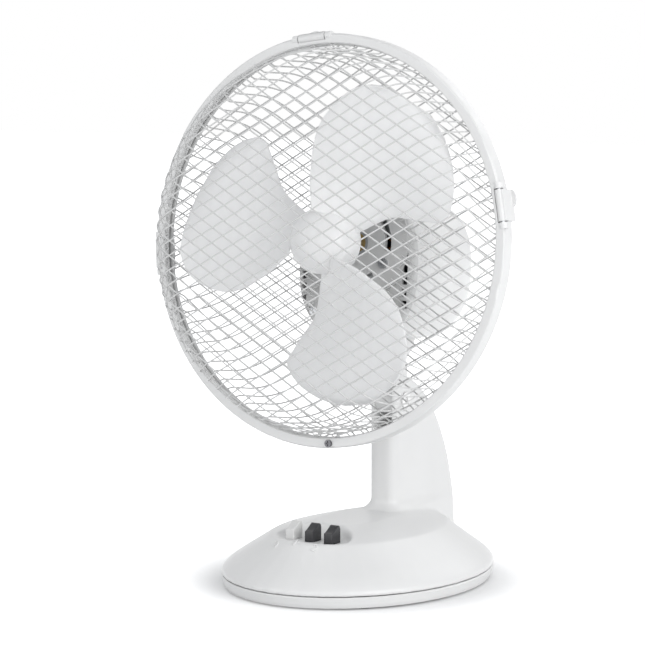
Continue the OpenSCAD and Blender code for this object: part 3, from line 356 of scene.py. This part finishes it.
neck = welded_copy("neck_shell", "neck")
dress(neck, "neck", "white_shell", white_abs, "neck")
pale_zinc = bright_metal("pale_zinc", (0.82, 0.82, 0.82), 0.5)
finish_solids(pale_zinc, "tilt_bolt", "tilt_nut")
ground_steel = bright_metal("ground_steel", (0.58, 0.59, 0.61), 0.25, brushed=4)
finish_solids(ground_steel, "pivot_post")
natural_nylon = moulded("natural_nylon", (0.72, 0.69, 0.6), 0.4)
finish_solids(natural_nylon, "thrust_washer")
finish_solids(zinc_plate, "post_circlip")

# ---------------------------------------------------------------- motor and swing gearbox
# A shaded-pole motor: varnished laminations with copper windings between two die-cast
# brackets, and behind it the die-cast box of the swing gears. All of it is out of sight.

die_cast = bright_metal("die_cast", (0.5, 0.51, 0.52), 0.5)
finish_solids(die_cast, "gearbox_housing", "front_bracket", "rear_bracket")
varnished_iron = bright_metal("varnished_iron", (0.16, 0.17, 0.19), 0.45)
finish_solids(varnished_iron, "stator_core", "rotor_core")
copper_wire = bright_metal("copper_wire", (0.55, 0.22, 0.09), 0.35, brushed=8)
finish_solids(copper_wire, "stator_coils")
oily_bronze = bright_metal("oily_bronze", (0.5, 0.36, 0.16), 0.38)
finish_solids(oily_bronze, "front_bearing", "rear_bearing", "swing_crank_gear")
finish_solids(natural_nylon, "worm_gear_wheel")
finish_solids(ground_steel, "motor_shaft")
finish_solids(zinc_plate, "motor_bolts", "gearbox_screws", "swing_link")

# ---------------------------------------------------------------- motor covers and knob
# Two thin mouldings close round the motor: a face plate and a deep white pot with cooling
# slots. The face plate's light grey is painted shade, the plastic darkened for the shade
# inside the guards. The swing clutch knob stands on top of the pot.

# painted shade: this light grey, used on the face plate and the rear guard's centre plate,
# stands for the shade they lie in inside the guard cage
painted_shade_grey = moulded("painted_shade_grey", (0.66, 0.66, 0.655), 0.45)
face = welded_copy("motor_face", "motor_front_cover")
dress(face, "head", "cover_grey", painted_shade_grey, "motor_front_cover")
pot = welded_copy("motor_pot", "motor_rear_cover")
dress(pot, "head", "white_shell", white_abs, "motor_rear_cover")
finish_solids(zinc_plate, "cover_screws")
knob = welded_copy("clutch_knob", "swing_knob")
dress(knob, "knob", "white_shell", white_abs, "swing_knob")

# ---------------------------------------------------------------- wire guards
# Each guard is two layers of straight steel wires, crossed and spot welded, pressed into a
# pan and welded to a rim wire. Both are powder coated white. The rear one has a centre plate.

powder_coat = moulded("powder_coat", (0.66, 0.66, 0.655), 0.36, grain=0.0009, depth=0.00004)

# places on the head: x to the right, y up the head and z forward from the swing post
tilt_bolt_at = (0, 0.042, 0.120)
shaft_above_bolt = 0.108
lean_back = math.radians(5)
shaft_frame = (Matrix.Translation(tilt_bolt_at) @ Matrix.Rotation(-lean_back, 4, "X")
               @ Matrix.Translation((0, 0, shaft_above_bolt))
               @ Matrix.Rotation(math.radians(90), 4, "X"))
ring_forward = 0.092
guard_depth = 0.033
shoulder = 0.018
shoulder_turn = math.radians(75)
rim_radius = 0.1314
rim_wire = 0.0013
wire_radius = 0.00055
wire_pitch = 0.0088
wire_slant = 30
# crossing wires, and their tips on the rim wire, are pressed into each other by the weld:
# their middles lie this share of the wire's radius away from the joint
wire_weld, tip_weld = 0.9, 0.8
wall_inside_rim = 0.7  # share of the rim wire's radius between the pan's wall and its middle
bare_edge = 0.012      # the outermost wires stop this far short of the blank's edge
bent_tip = 0.003       # the last stretch of a wire, which bends out over the rim wire
wall_steps = 10
near_middle = 0.0001


def guard(name, rim_at, side, hole):
    """A pan of two wire layers and its rim; side is 1 for the front guard, -1 for the rear."""
    depth = guard_depth - side * rim_at
    wall = (depth - shoulder * (1 - math.cos(shoulder_turn))) / math.sin(shoulder_turn)
    face_radius = (rim_radius - rim_wire * wall_inside_rim - wire_radius * 2
                   - wall * math.cos(shoulder_turn) - shoulder * math.sin(shoulder_turn))
    blank = face_radius + shoulder * shoulder_turn + wall

    def pressed(x, y, lift):
        """Where a point of the flat blank comes to lie when the pan is pressed."""
        reach = math.hypot(x, y)
        bend = min(shoulder_turn, max(0, (reach - face_radius) / shoulder))
        on_wall = max(0, reach - face_radius - shoulder * shoulder_turn)
        out = (min(reach, face_radius) + shoulder * math.sin(bend)
               + on_wall * math.cos(shoulder_turn) + lift * math.sin(bend))
        up = (depth - shoulder * (1 - math.cos(bend))
              - on_wall * math.sin(shoulder_turn) + lift * math.cos(bend))
        return x / reach * out, y / reach * out, up

    wires = bpy.data.curves.new(name, "CURVE")
    wires.dimensions = "3D"
    wires.bevel_depth = wire_radius
    wires.bevel_resolution = 1
    wires.use_fill_caps = True
    rows = math.floor((blank - bare_edge) / wire_pitch - 0.5)
    for layer in (-1, 1):
        slant = Matrix.Rotation(math.radians(wire_slant * layer), 3, "Z")
        for row in range(-rows - 1, rows + 1):
            off = (row + 0.5) * wire_pitch
            tip = math.sqrt(blank * blank - off * off)
            wall_end = math.sqrt((blank - bent_tip) ** 2 - off * off)
            flat = math.sqrt(max(0, face_radius ** 2 - off * off))
            gap = math.sqrt(max(0, hole ** 2 - off * off))
            left = [-tip]
            left += [-wall_end + (wall_end - flat) * k / wall_steps for k in range(wall_steps)]
            left += [-flat]
            right = [-x for x in reversed(left)]
            lengths = [left + [near_middle] + right]
            if gap > 0:
                lengths = [left + [-gap], [gap] + right]
            for length in lengths:
                spline = wires.splines.new("POLY")
                spline.points.add(len(length) - 1)
                for point, x in zip(spline.points, length):
                    p = slant @ Vector(pressed(x, off, layer * wire_radius * wire_weld))
                    if abs(x) == tip:
                        p *= rim_radius / math.hypot(p.x, p.y)
                        p.z = rim_wire + wire_radius * tip_weld
                    point.co = (p.x, p.y, rim_at + side * p.z, 1)
    grille = bpy.data.objects.new(name, wires)
    scene.collection.objects.link(grille)
    only(grille)
    bpy.ops.object.convert(target="MESH")
    grille = bpy.context.object
    grille.name = name
    grille.data.transform(shaft_frame @ Matrix.Translation((0, 0, ring_forward)))
    bpy.ops.object.shade_smooth_by_angle(angle=math.radians(60))
    dress(grille, "head", "white_wire", powder_coat, name + "_mesh")

    bpy.ops.mesh.primitive_torus_add(major_radius=rim_radius, minor_radius=rim_wire,
                                     major_segments=180, minor_segments=14)
    rim = bpy.context.object
    rim.name = name + "_rim_wire"
    rim.data.transform(shaft_frame @ Matrix.Translation((0, 0, ring_forward + rim_at)))
    bpy.ops.object.shade_smooth()
    dress(rim, "head", "white_wire", powder_coat, name + "_rim")


plate_radius = 0.042
under_plate = 0.003   # how far the rear guard's wires reach in under the plate's edge
guard("front_guard", rim_at=0.0014, side=1, hole=0)
guard("rear_guard", rim_at=-0.0041, side=-1, hole=plate_radius - under_plate)
# the centre plate takes the same light grey, painted shade for where it lies inside the guard
# cage
centre_plate = welded_copy("centre_plate", "rear_guard_plate")
dress(centre_plate, "head", "cover_grey", painted_shade_grey, "rear_guard_plate")
finish_solids(zinc_plate, "guard_plate_screws")

# ---------------------------------------------------------------- retaining ring and clips
# A white moulded ring holds the rims of both guards together. Three hinged spring clips
# snap it to the rear guard, and a small black screw with a nut locks it at the bottom.

ring = welded_copy("guard_ring", "retaining_ring")
dress(ring, "head", "white_shell", white_abs, "retaining_ring")
black_zinc = bright_metal("black_zinc", (0.16, 0.16, 0.17), 0.35)
finish_solids(black_zinc, "ring_screw")
finish_solids(zinc_plate, "ring_nut")

strap_radius = 0.1372
strap_flatten = 0.5
clip_narrowing = 0.95
for side, clip_angle in (("top", 97), ("right", 12), ("left", 186)):
    clip = welded_copy(side + "_spring_clip", "clip_" + side)
    # strap and thumb tab lie close to the ring, and the barrel has play in its knuckles
    here = shaft_frame @ Matrix.Rotation(math.radians(clip_angle), 4, "Z")
    for v in clip.data.vertices:
        p = here.inverted() @ v.co
        out = min(p.x, strap_radius + (p.x - strap_radius) * strap_flatten)
        v.co = here @ Vector((out, p.y * clip_narrowing, p.z))
    dress(clip, side + "_clip", "white_shell", white_abs, "clip_" + side)
finish_solids(ground_steel, "clip_pins")

# ---------------------------------------------------------------- blade
# Three broad twisted blades and their hub, one moulding in glossy white plastic. The hub
# slides on the shaft and is driven by a steel cross pin.

blade_white = moulded("blade_white", (0.9, 0.9, 0.9), 0.22,
                      grain=0.0012, depth=0.00001, mottle=0.02)
blade_radius = 0.113
blade_thick = 0.0018
rear_edge_at, rear_edge_rise = 0.003, 0.0015  # over the hub's rear, and more towards the tip
root_depth, depth_loss = 0.027, 0.010         # from edge to edge, and less towards the tip
hollow, hollow_forward = 0.005, 0.3
hub_radius = 0.022
hub_length = 0.032
hub_wall = 0.002
hub_at = ring_forward - 0.008
# share of the tip radius, and the angles of the rear and the front edge there
blade_edges = ((0.17, 16, 91), (0.32, 20, 95), (0.45, 20, 94), (0.57, 15, 92.5),
               (0.69, 11.5, 89), (0.78, 10.5, 84.5), (0.86, 17, 80), (0.92, 27, 76),
               (0.965, 38, 71), (0.99, 49, 66))


def edge_angles(share):
    """Both edges' angles at a share of the tip radius, on a smooth curve through the table."""
    last = len(blade_edges) - 1
    row = max(i for i in range(last) if blade_edges[i][0] <= share + 1e-9)
    before, start, end, after = [blade_edges[max(0, min(last, row + i))] for i in (-1, 0, 1, 2)]
    step = end[0] - start[0]
    t = (share - start[0]) / step
    angles = []
    for edge in (1, 2):
        leaving = (end[edge] - before[edge]) / (end[0] - before[0]) * step
        coming = (after[edge] - start[edge]) / (after[0] - start[0]) * step
        angles.append((2 * t ** 3 - 3 * t ** 2 + 1) * start[edge]
                      + (t ** 3 - 2 * t ** 2 + t) * leaving
                      + (3 * t ** 2 - 2 * t ** 3) * end[edge] + (t ** 3 - t ** 2) * coming)
    return angles


root_share, tip_share = blade_edges[0][0], blade_edges[-1][0]
bpy.ops.mesh.primitive_grid_add(x_subdivisions=14, y_subdivisions=40, size=2)
first_blade = bpy.context.object
first_blade.name = "blade_1"
for v in first_blade.data.vertices:
    # chord runs from the rear edge to the front one, share from the root to the tip
    chord = (v.co.x + 1) / 2
    share = root_share + (tip_share - root_share) * (v.co.y + 1) / 2
    rear, front = edge_angles(share)
    angle = math.radians(rear + (front - rear) * chord)
    rear_edge = rear_edge_at + rear_edge_rise * share
    twist = (root_depth - depth_loss * share) * chord
    belly = hollow * share * 4 * chord * (1 - chord) * (0.5 - chord * hollow_forward)
    out = share * blade_radius
    v.co = (out * math.cos(angle), out * math.sin(angle), hub_at + rear_edge + twist + belly)
wall = first_blade.modifiers.new("wall", "SOLIDIFY")
wall.thickness = blade_thick
wall.offset = 0
bpy.ops.object.modifier_apply(modifier=wall.name)
edge = first_blade.modifiers.new("edge", "BEVEL")
edge.width = 0.0005
edge.segments = 2
edge.limit_method = "ANGLE"
edge.angle_limit = math.radians(50)
bpy.ops.object.modifier_apply(modifier=edge.name)
bpy.ops.object.shade_smooth()

# the hub's outline runs from its open rear to its domed nose, which ends in a small dent
dome_steps = 12
hub_outline = [(hub_radius - hub_wall, 0), (hub_radius, 0.0004), (hub_radius, hub_length * 0.5)]
hub_outline += [(hub_radius * math.cos(a), hub_length * 0.5 * (1 + math.sin(a)))
                for a in (math.radians(90 * k / dome_steps) for k in range(1, dome_steps))]
hub_outline += [(0.0016, hub_length - 0.0001), (0.0012, hub_length - 0.0006),
                (0, hub_length - 0.0007)]
bpy.ops.mesh.primitive_circle_add(vertices=64, radius=hub_outline[0][0])
hub = bpy.context.object
hub.name = "hub"
bpy.ops.object.mode_set(mode="EDIT")
bpy.ops.mesh.select_all(action="SELECT")
for (from_r, from_z), (r, z) in zip(hub_outline, hub_outline[1:]):
    bpy.ops.mesh.extrude_region_move(TRANSFORM_OT_translate={"value": (0, 0, z - from_z)})
    if r > 0:
        bpy.ops.transform.resize(value=(r / from_r, r / from_r, 1), center_override=(0, 0, 0))
    else:
        bpy.ops.mesh.merge(type="CENTER")
bpy.ops.mesh.select_all(action="SELECT")
bpy.ops.mesh.normals_make_consistent(inside=False)
bpy.ops.object.mode_set(mode="OBJECT")
shell = hub.modifiers.new("shell", "SOLIDIFY")
shell.thickness = hub_wall
shell.offset = -1
bpy.ops.object.modifier_apply(modifier=shell.name)
hub.data.transform(Matrix.Translation((0, 0, hub_at)))
bpy.ops.object.shade_smooth_by_angle(angle=math.radians(40))

blades = [first_blade]
for number in (2, 3):
    again = bpy.data.objects.new("blade_%d" % number, first_blade.data.copy())
    again.data.transform(Matrix.Rotation(math.radians(120 * (number - 1)), 4, "Z"))
    scene.collection.objects.link(again)
    blades.append(again)
only(hub)
for piece in blades:
    piece.select_set(True)
bpy.ops.object.join()
hub.name = "blade_and_hub"
hub.data.transform(shaft_frame)
dress(hub, "rotor", "blade_white", blade_white, "fan_blade")
finish_solids(ground_steel, "blade_pin")
